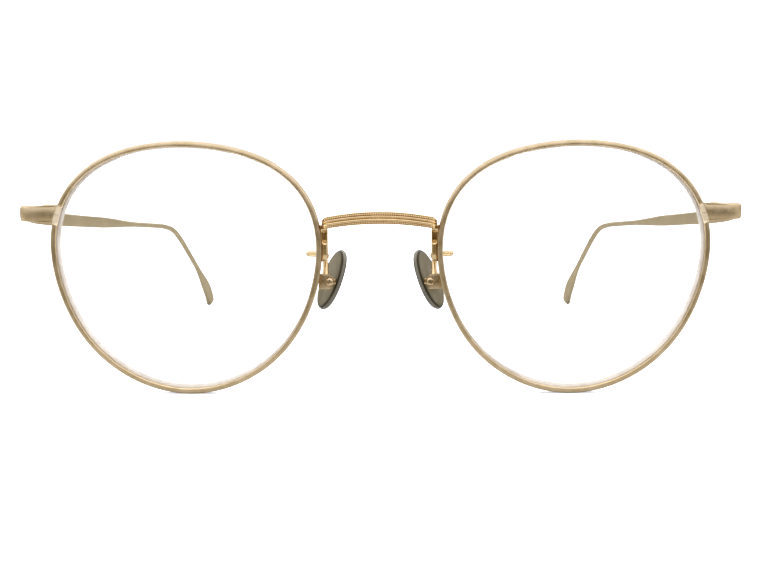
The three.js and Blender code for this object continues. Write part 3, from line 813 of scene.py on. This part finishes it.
def make_pad_screw(side):
    made = screw(head_radius=0.72, head_height=0.42, shank_radius=0.4, shank_length=2.0, crossed=True)
    moved(made, to_depth(BOX_FRONT - 0.03, facing=-1))
    return finished(made, "pad_screw", side, FASTENER, 34)


# The pad's place, and its turns in degrees. It is drawn with its thickness along x.
PAD_CENTRE = (9.2, 10.4, 20.65)
PAD_LENGTH, PAD_WIDTH, PAD_THICK = 12.2, 7.6, 1.5
PAD_TILT, PAD_LEAN, PAD_SPLAY = 22.0, 6.0, 25.0
PAD_STEPS = 96
PAD_SHARES = (0.0, 0.15, 0.35, 0.55, 0.75, 0.9)
PAD_ROUNDING = 0.62
PAD_SINK = 0.10
# How much each face, -1 or 1, bulges in its middle.
PAD_CROWN = {-1: 0.06, 1: 0.084}


def pad_place():
    turn = Matrix.Rotation(math.radians(-PAD_TILT), 4, "Y")
    turn @= Matrix.Rotation(math.radians(PAD_LEAN), 4, "X")
    turn @= Matrix.Rotation(math.radians(-PAD_SPLAY), 4, "Z")
    return Matrix.Translation(PAD_CENTRE) @ turn


def pad_outline(angle):
    """The pad seen flat, across and along: an oval, a little narrower towards its top."""
    across = PAD_WIDTH / 2 * math.cos(angle) * (1 - 0.06 * math.sin(angle))
    return across, PAD_LENGTH / 2 * math.sin(angle)


def pad_rings(face):
    """Half of the pad, from the middle of one face (-1 or 1) to its round edge."""
    half = PAD_THICK / 2
    rows = [(share, PAD_ROUNDING, half) for share in PAD_SHARES]
    for k in range(8):
        angle = math.pi / 2 * k / 7
        rows.append((1.0, PAD_ROUNDING * (1 - math.sin(angle)), half * math.cos(angle)))
    rings = []
    for share, inset, height in rows:
        ring = []
        for i in range(PAD_STEPS):
            across, along = pad_outline(2 * math.pi * i / PAD_STEPS)
            size = math.hypot(across, along)
            scale = share * (size - inset) / size
            crown = PAD_CROWN[face] * (1 - scale**2)
            ring.append((face * (height - PAD_SINK + crown), across * scale, along * scale))
        rings.append(ring)
    return rings


def make_nose_pad(side):
    """A thin oval cushion: softly crowned faces and a full round edge."""
    first, second = pad_rings(-1), pad_rings(1)
    pad = loft([*first, *second[-2::-1]])
    border = pad.data.attributes.new("border", "FLOAT", "POINT")
    for vertex in pad.data.vertices:
        _, across, along = vertex.co
        angle = math.atan2(along / PAD_LENGTH, across / PAD_WIDTH)
        border.data[vertex.index].value = math.hypot(across, along) / math.hypot(*pad_outline(angle))
    return finished(moved(pad, pad_place()), "nose_pad", side, PAD, 50)


STEM_LEFT = SCREW_X - 1.15
STEM_CLEAR = 0.12
COLLAR_RADIUS = 0.9
TONGUE_HALF, FOOT_HALF = 0.5, 0.45
FOOT_REACH = 2.4
PAD_HOLD = 0.25


def make_pad_stem(side):
    """The metal tongue from the pad to the screw, with a collar round the screw."""
    front = BOX_FRONT + BOX_WALL + STEM_CLEAR
    back = BOX_BACK - BOX_WALL - STEM_CLEAR
    collar = loft(lathe([(COLLAR_RADIUS, 0), (COLLAR_RADIUS, back - front)], 40))
    moved(collar, to_depth(front))
    tongue = box(
        (STEM_LEFT, front + 0.03, SCREW_Z - TONGUE_HALF),
        (SCREW_X, back - 0.03, SCREW_Z + TONGUE_HALF),
    )
    foot = box(
        (STEM_LEFT + 0.03, front + 0.06, SCREW_Z - FOOT_HALF),
        (BOX_INNER - 0.15, back + FOOT_REACH, SCREW_Z + FOOT_HALF),
    )
    joined(collar, tongue)
    joined(collar, foot)
    pad_room = box((-6, -8, -8), (PAD_THICK / 2 - PAD_HOLD, 8, 8))
    cut(collar, moved(pad_room, pad_place()))
    bore = loft(lathe([(STEM_BORE, -1), (STEM_BORE, BEYOND)], 32))
    cut(collar, moved(bore, to_depth(front)))
    rounded(collar, 0.07, 2, 40)
    return finished(collar, "pad_stem", side, POLISHED, 36)


# ---------------- endpieces, locks and hinges

END_INNER, END_OUTER = 60.0, 67.4
END_FRONT = RIM_FRONT + 0.35
END_DEPTH = 7.35
END_THICK = 1.1
INNER_HEIGHT, OUTER_HEIGHT = 3.5, 2.85
END_CROWN = 0.088
PLATE_START = 58.6
PLATE_SWEEP = 0.15
CORNER_RUN, CORNER_DEPTH = 3.7, 2.6
CORNER_STEPS = 14
ROOM_STEPS = 192


def end_path():
    """The plate's outer face in plan, from the rim round the corner to the hinge."""
    bend = END_OUTER - CORNER_RUN
    points = []
    for i in range(CORNER_STEPS + 1):
        x = PLATE_START + (bend - PLATE_START) * i / CORNER_STEPS
        points.append(Vector((x, END_FRONT + PLATE_SWEEP * smooth(x, END_INNER, bend))))
    a = Vector((bend, END_FRONT + PLATE_SWEEP))
    b = Vector((END_OUTER - 0.15, END_FRONT + 0.24))
    c = Vector((END_OUTER, END_FRONT + CORNER_DEPTH))
    for k in range(1, CORNER_STEPS + 1):
        t = k / CORNER_STEPS
        points.append(a * (1 - t) ** 2 + b * 2 * t * (1 - t) + c * t * t)
    side_run = END_DEPTH - END_FRONT - CORNER_DEPTH
    for k in range(1, 6):
        points.append(Vector((END_OUTER, END_FRONT + CORNER_DEPTH + side_run * k / 5)))
    return points


def end_section(half):
    """The plate's section: depth behind its face, and height; a crown, with long bevels."""
    crown = [(END_CROWN * (half * k / 7) ** 2, half * k / 7) for k in (6, 5, 4, 3, 2, 1, 0)]
    top = [(0.40, half), (0.30, half - 0.02), (0.22, half - 0.07), (0.16, half - 0.15), *crown]
    low = [(depth, -z) for depth, z in reversed(top[:-1])]
    back = [
        (0.9, -half), (1.04, -half + 0.06), (END_THICK, -half + 0.2), (END_THICK, 0.0),
        (END_THICK, half - 0.2), (1.04, half - 0.06), (0.9, half),
    ]
    return top + low + back


def make_endpiece(side):
    path = end_path()
    rings = []
    for i, point in enumerate(path):
        ahead = (path[min(i + 1, len(path) - 1)] - path[max(i - 1, 0)]).normalized()
        inward = Vector((-ahead.y, ahead.x))
        share = smooth(point.x, END_INNER, END_OUTER)
        half = (INNER_HEIGHT + (OUTER_HEIGHT - INNER_HEIGHT) * share) / 2
        ring = []
        for depth, z in end_section(half):
            place = point + inward * depth
            ring.append((place.x, place.y, END_Z + z))
        rings.append(ring)
    plate = loft(rings)
    turns = [-2 * math.pi * i / ROOM_STEPS for i in range(ROOM_STEPS)]
    cut(plate, loft([[eye_point(turn, SOLDER, depth) for turn in turns] for depth in (-3, 9)]))
    rounded(plate, 0.12, 2, 50)
    return finished(plate, "endpiece", side, BRUSHED, 34)


LOCK_OUTER, LOCK_BACK = 63.4, 6.5
LOCK_HALF, LOCK_GAP = 1.3, 0.3
LOCK_CLEAR = 0.04
LOCK_SCREW_X, LOCK_SCREW_DEPTH = LOCK_OUTER - 1.1, 5.475
LOCK_BORE = 0.58


def make_lock(side, up):
    """A block behind the plate, shaped to the rim beside it; a screw draws the two together."""
    if up:
        low, high = END_Z + LOCK_GAP / 2, END_Z + LOCK_HALF
    else:
        low, high = END_Z - LOCK_HALF, END_Z - LOCK_GAP / 2
    inner = []
    for k in range(9):
        z = low + (high - low) * k / 8
        inner.append((eye_point(eye_angle(z, True, -LOCK_CLEAR), -LOCK_CLEAR, 2.0).x, z))
    outline = [*inner, (LOCK_OUTER, high), (LOCK_OUTER, low)]
    block = front_plate(outline, END_FRONT + END_THICK, LOCK_BACK)
    rounded(block, 0.16, 3, 40)
    bore = loft(lathe([(LOCK_BORE, low - 1), (LOCK_BORE, high + 1)], 32))
    cut(block, moved(bore, Matrix.Translation((LOCK_SCREW_X, LOCK_SCREW_DEPTH, 0))))
    name = "rim_lock_upper" if up else "rim_lock_lower"
    return finished(block, name, side, BRUSHED, 36)


def make_lock_screw(side):
    length = 2 * LOCK_HALF + 0.2
    made = screw(head_radius=0.8, head_height=0.38, shank_radius=0.5, shank_length=length)
    moved(made, Matrix.Translation((LOCK_SCREW_X, LOCK_SCREW_DEPTH, END_Z + LOCK_HALF + 0.05)))
    return finished(made, "rim_lock_screw", side, FASTENER, 34)


# The hinge is drawn about its pin, upright at the origin; on_pin() takes it to its place.
HINGE = (64.95, 7.5, 33.7)
SLOPE = math.radians(5.3)
HINGE_RADIUS = 1.15
HINGE_BORE = 0.55
HINGE_HALF = 1.45
MIDDLE_HALF = 0.5
WASHER = 0.14
GAP = 0.08
OUTER_KNUCKLE = MIDDLE_HALF + WASHER + 2 * GAP
LEAF_INNER, LEAF_OUTER = 65.3 - HINGE[0], 65.95 - HINGE[0]
LEAF_START, LEAF_END = 5.0 - HINGE[1], 7.2 - HINGE[1]
KNUCKLE_ROOM = HINGE_RADIUS + 0.15
HEAD_RADIUS, HEAD_DEPTH = 0.78, 0.35
# How much the temple runs inwards for each millimetre of depth.
INWARD = 0.169


def on_pin(obj):
    return moved(obj, Matrix.Translation(HINGE) @ Matrix.Rotation(-SLOPE, 4, "X"))


def knuckle(low, high, bevel=0.07):
    small = bevel * 0.3
    profile = [
        (0.0, low), (HINGE_RADIUS - bevel, low), (HINGE_RADIUS - small, low + small),
        (HINGE_RADIUS, low + bevel), (HINGE_RADIUS, high - bevel),
        (HINGE_RADIUS - small, high - small), (HINGE_RADIUS - bevel, high), (0.0, high),
    ]
    return loft(lathe(profile, 48))


def drilled(obj, radius, low=-BEYOND, high=BEYOND):
    return cut(obj, loft(lathe([(radius, low), (radius, high)], 40)))


def make_hinge_front(side):
    """The leaf on the endpiece and the two outer knuckles, the upper one sunk for the head."""
    leaf = box((LEAF_INNER, LEAF_START, -HINGE_HALF), (LEAF_OUTER + 0.5, LEAF_END, HINGE_HALF))
    rounded(leaf, 0.1, 2)
    drilled(leaf, KNUCKLE_ROOM, -OUTER_KNUCKLE, OUTER_KNUCKLE)
    joined(leaf, knuckle(OUTER_KNUCKLE, HINGE_HALF))
    joined(leaf, knuckle(-HINGE_HALF, -OUTER_KNUCKLE))
    drilled(leaf, HINGE_BORE)
    drilled(leaf, HEAD_RADIUS + 0.06, HINGE_HALF - HEAD_DEPTH)
    return finished(on_pin(leaf), "hinge_front", side, BRUSHED, 34)


def make_hinge_temple(side):
    """The leaf on the temple, slanting inwards with it, and the middle knuckle."""
    slant = Matrix.Rotation(math.atan(INWARD), 4, "Z")
    leaf = box((LEAF_INNER, 0.4, -MIDDLE_HALF - 0.5), (LEAF_OUTER, 4.9, MIDDLE_HALF + 0.5))
    rounded(moved(leaf, slant), 0.12, 3)
    drilled(leaf, KNUCKLE_ROOM, low=MIDDLE_HALF)
    drilled(leaf, KNUCKLE_ROOM, high=-MIDDLE_HALF)
    web = box((0, 0, -MIDDLE_HALF + 0.01), (LEAF_OUTER - 0.02, 1.6, MIDDLE_HALF - 0.01))
    joined(leaf, moved(web, slant))
    joined(leaf, knuckle(-MIDDLE_HALF, MIDDLE_HALF))
    drilled(leaf, HINGE_BORE)
    return finished(on_pin(leaf), "hinge_temple", side, BRUSHED, 34)


def make_hinge_washer(side, up):
    """A thin ring. The caps that close its lathed outside give way to a wall along the bore."""
    low = MIDDLE_HALF + GAP
    high = low + WASHER
    radius = HINGE_RADIUS - 0.1
    profile = [
        (HINGE_BORE, low), (radius - 0.03, low), (radius, low + 0.04),
        (radius, high - 0.04), (radius - 0.03, high), (HINGE_BORE, high),
    ]
    if not up:
        profile = [(r, -z) for r, z in profile]
    washer = loft(lathe(profile, 48))
    ring = bmesh.new()
    ring.from_mesh(washer.data)
    caps = [face for face in ring.faces if len(face.verts) > 4]
    bmesh.ops.delete(ring, geom=caps, context="FACES_ONLY")
    rims = [edge for edge in ring.edges if edge.is_boundary]
    bmesh.ops.bridge_loops(ring, edges=rims)
    bmesh.ops.recalc_face_normals(ring, faces=ring.faces)
    ring.to_mesh(washer.data)
    ring.free()
    name = "hinge_washer_upper" if up else "hinge_washer_lower"
    return finished(on_pin(washer), name, side, FASTENER, 34)


def make_hinge_screw(side):
    seat = HINGE_HALF - HEAD_DEPTH + 0.03
    length = seat + HINGE_HALF - 0.05
    made = screw(head_radius=HEAD_RADIUS, head_height=0.30, shank_radius=0.47, shank_length=length)
    moved(made, Matrix.Translation((0, 0, seat)))
    return finished(on_pin(made), "hinge_screw", side, FASTENER, 34)


# ---------------- temples

# The temple's line as depth and height: a straight blade, then the bend behind the ear.
TEMPLE_START = 7.8
TEMPLE_LINE = (
    (TEMPLE_START, 33.7), (14, 32.55), (28, 31.0), (60, 28.0), (84, 25.8), (91, 25.0), (97, 23.75),
    (102.5, 21.4), (108, 18.5), (113, 15.9), (126, 9.4), (136, 4.4), (140.3, 1.4),
)
TEMPLE_X = 66.8
EAR_START, EAR_CURVE = 93, 0.00173
TEMPLE_HALF_THICK = 0.55
BLADE_HALF, BLADE_TAPER = 1.4, 0.25
WIRE_HALF = 0.55
PADDLE_HALF = 1.25
BLADE_NOSE = 0.16
PADDLE_TWIST = math.radians(-34)


def temple_half_height(depth):
    blade = BLADE_HALF - BLADE_TAPER * smooth(depth, 7, 45)
    to_wire = (WIRE_HALF - blade) * smooth(depth, 46, 72)
    to_paddle = (PADDLE_HALF - WIRE_HALF) * smooth(depth, 118, 134)
    return blade + to_wire + to_paddle


def temple_lateral(depth):
    """The temple runs inwards to the ear, and curves outwards again behind it."""
    past_ear = max(0.0, depth - EAR_START)
    return TEMPLE_X - INWARD * (depth - TEMPLE_START) + EAR_CURVE * past_ear * past_ear


def temple_squareness(depth):
    """The section's exponent: a rounded bar in front, a round wire, a soft flat paddle."""
    return 5.2 - 3.0 * smooth(depth, 40, 66) + 0.8 * smooth(depth, 118, 132)


def temple_section(point, ahead, depth, tall, thick):
    """A ring round the temple at a point of its line; the paddle twists towards its tip."""
    up = Vector((-ahead.y, ahead.x))
    power = 2 / temple_squareness(depth)
    twist = PADDLE_TWIST * smooth(depth, 112, 136)
    ring = []
    for k in range(36):
        angle = 2 * math.pi * k / 36
        flat = math.copysign(abs(math.cos(angle)) ** power, math.cos(angle)) * thick
        wide = math.copysign(abs(math.sin(angle)) ** power, math.sin(angle)) * tall
        side = flat * math.cos(twist) + wide * math.sin(twist)
        rise = wide * math.cos(twist) - flat * math.sin(twist)
        place = point + up * rise
        ring.append((temple_lateral(place.x) + side, place.x, place.y))
    return ring


def make_temple(side):
    """One springy bar from the hinge to the tip, with a small rounded nose and a round tip."""
    line = spline(TEMPLE_LINE, 16)
    rings = []
    first = (line[1] - line[0]).normalized()
    for shift, shrink in ((0.0, 0.22), (0.03, 0.12), (0.09, 0.04), (BLADE_NOSE, 0.0)):
        tall = temple_half_height(line[0].x) - shrink
        thick = TEMPLE_HALF_THICK - shrink
        rings.append(temple_section(line[0] + first * shift, first, line[0].x, tall, thick))
    for i in range(1, len(line)):
        ahead = (line[min(i + 1, len(line) - 1)] - line[i - 1]).normalized()
        depth = line[i].x
        rings.append(temple_section(line[i], ahead, depth, temple_half_height(depth), TEMPLE_HALF_THICK))
    last = (line[-1] - line[-2]).normalized()
    half = temple_half_height(line[-1].x)
    for k in range(1, 10):
        angle = math.pi / 2 * k / 9
        place = line[-1] + last * half * math.sin(angle)
        tall = half * math.cos(angle)
        thick = TEMPLE_HALF_THICK * math.cos(angle) ** 0.45
        rings.append(temple_section(place, last, line[-1].x, tall, thick))
    return finished(loft(rings), "temple", side, BRUSHED_LONG, 40)


# ---------------- floor and light

# The stage, in metres.
FLOOR_FRONT = FRONT_Y - 0.045
FLOOR_BACK = 1.2
FLOOR_HALF_WIDTH = 1.0
FLOOR_DROP = 0.00005
FLOOR_GLOW = 0.45
PAPER, PAPER_IN_MIRROR = 0.92, 0.42
LAMP_POWER = 9.5
LAMP_SIZE = 0.9
LAMP_PLACE = (0, 0.05, 0.9)
# Each part of the studio, and where it begins and is full along its axis of the view.
WALLS = (0.60, 0.58, 0.54)
FRONT_GAP, FRONT_GAP_RISE = (0.19, 0.165, 0.12), (-0.45, -0.80)
BELOW, BELOW_RISE = (1.0, 0.98, 0.95), (-0.18, -0.45)
OVERHEAD, OVERHEAD_RISE = (1.75, 1.81, 2.05), (0.06, 0.36)
WHITE = (1.0, 1.0, 1.0)
BACKDROP = 1.1


def make_floor():
    """Pale paper, a little glowing for the camera and darker where the metal mirrors it. It
    ends just before the glasses, so that they mirror the studio's dark gap."""
    left, right = -FLOOR_HALF_WIDTH, FLOOR_HALF_WIDTH
    corners = [
        (left, FLOOR_FRONT, 0), (right, FLOOR_FRONT, 0), (right, FLOOR_BACK, 0), (left, FLOOR_BACK, 0),
    ]
    mesh = bpy.data.meshes.new("floor")
    mesh.from_pydata(corners, [], [(0, 1, 2, 3)])
    floor = bpy.data.objects.new("floor", mesh)
    floor.location.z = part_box("rim_left")[0].z - FLOOR_DROP
    scene.collection.objects.link(floor)
    nodes = Nodes(bpy.data.materials.new("floor"))
    path = nodes.add("ShaderNodeLightPath")
    papers = []
    for white in (PAPER, PAPER_IN_MIRROR):
        colour = (white, white * 0.99, white * 0.97)
        papers.append(nodes.shader("ShaderNodeBsdfDiffuse", {"Color": colour}))
    paper = nodes.mix(path.outputs["Is Reflection Ray"], *papers)
    strength = nodes.math("MULTIPLY", path.outputs["Is Camera Ray"], FLOOR_GLOW)
    glow = nodes.shader("ShaderNodeEmission", {"Strength": strength})
    mesh.materials.append(nodes.finish(nodes.shader("ShaderNodeAddShader", {0: paper, 1: glow})))


def make_lamp():
    """A soft lamp overhead that the metal doesn't mirror."""
    data = bpy.data.lights.new("softbox", "AREA")
    data.energy = LAMP_POWER
    data.size = LAMP_SIZE
    lamp = bpy.data.objects.new("softbox", data)
    lamp.visible_glossy = False
    lamp.location = LAMP_PLACE
    scene.collection.objects.link(lamp)


def make_world():
    """The studio that the metal mirrors: bright overhead, pale below, dim walls, and a dark gap
    on the side that the object faces. The camera, also through the lenses, sees plain white."""
    scene.world = bpy.data.worlds.new("studio")
    nodes = Nodes(scene.world, "ShaderNodeOutputWorld")
    where = nodes.add("ShaderNodeTexCoord").outputs["Generated"]
    split = nodes.feed(nodes.add("ShaderNodeSeparateXYZ"), {0: where})
    colour = WALLS
    areas = (("Y", FRONT_GAP_RISE, FRONT_GAP), ("Z", BELOW_RISE, BELOW), ("Z", OVERHEAD_RISE, OVERHEAD))
    for axis, rise, area in areas:
        colour = nodes.blend(nodes.span(split.outputs[axis], *rise), colour, area)
    room = nodes.shader("ShaderNodeBackground", {"Color": colour})
    white = nodes.shader("ShaderNodeBackground", {"Color": WHITE, "Strength": BACKDROP})
    path = nodes.add("ShaderNodeLightPath")
    seen = nodes.math("MAXIMUM", path.outputs["Is Camera Ray"], path.outputs["Is Transmission Ray"])
    nodes.finish(nodes.mix(seen, room, white))


# ---------------- the whole


def make_glasses():
    make_bridge()
    for side in SIDES:
        make_rim(side)
        make_lens(side)
        make_leg(side)
        make_pad_arm(side)
        make_pad_box(side)
        make_pad_screw(side)
        make_nose_pad(side)
        make_pad_stem(side)
        make_endpiece(side)
        make_lock(side, True)
        make_lock(side, False)
        make_lock_screw(side)
        make_hinge_front(side)
        make_hinge_temple(side)
        make_hinge_washer(side, True)
        make_hinge_washer(side, False)
        make_hinge_screw(side)
        make_temple(side)


make_camera()
make_floor()
make_lamp()
make_world()
scene.view_settings.view_transform = "Standard"
make_glasses()
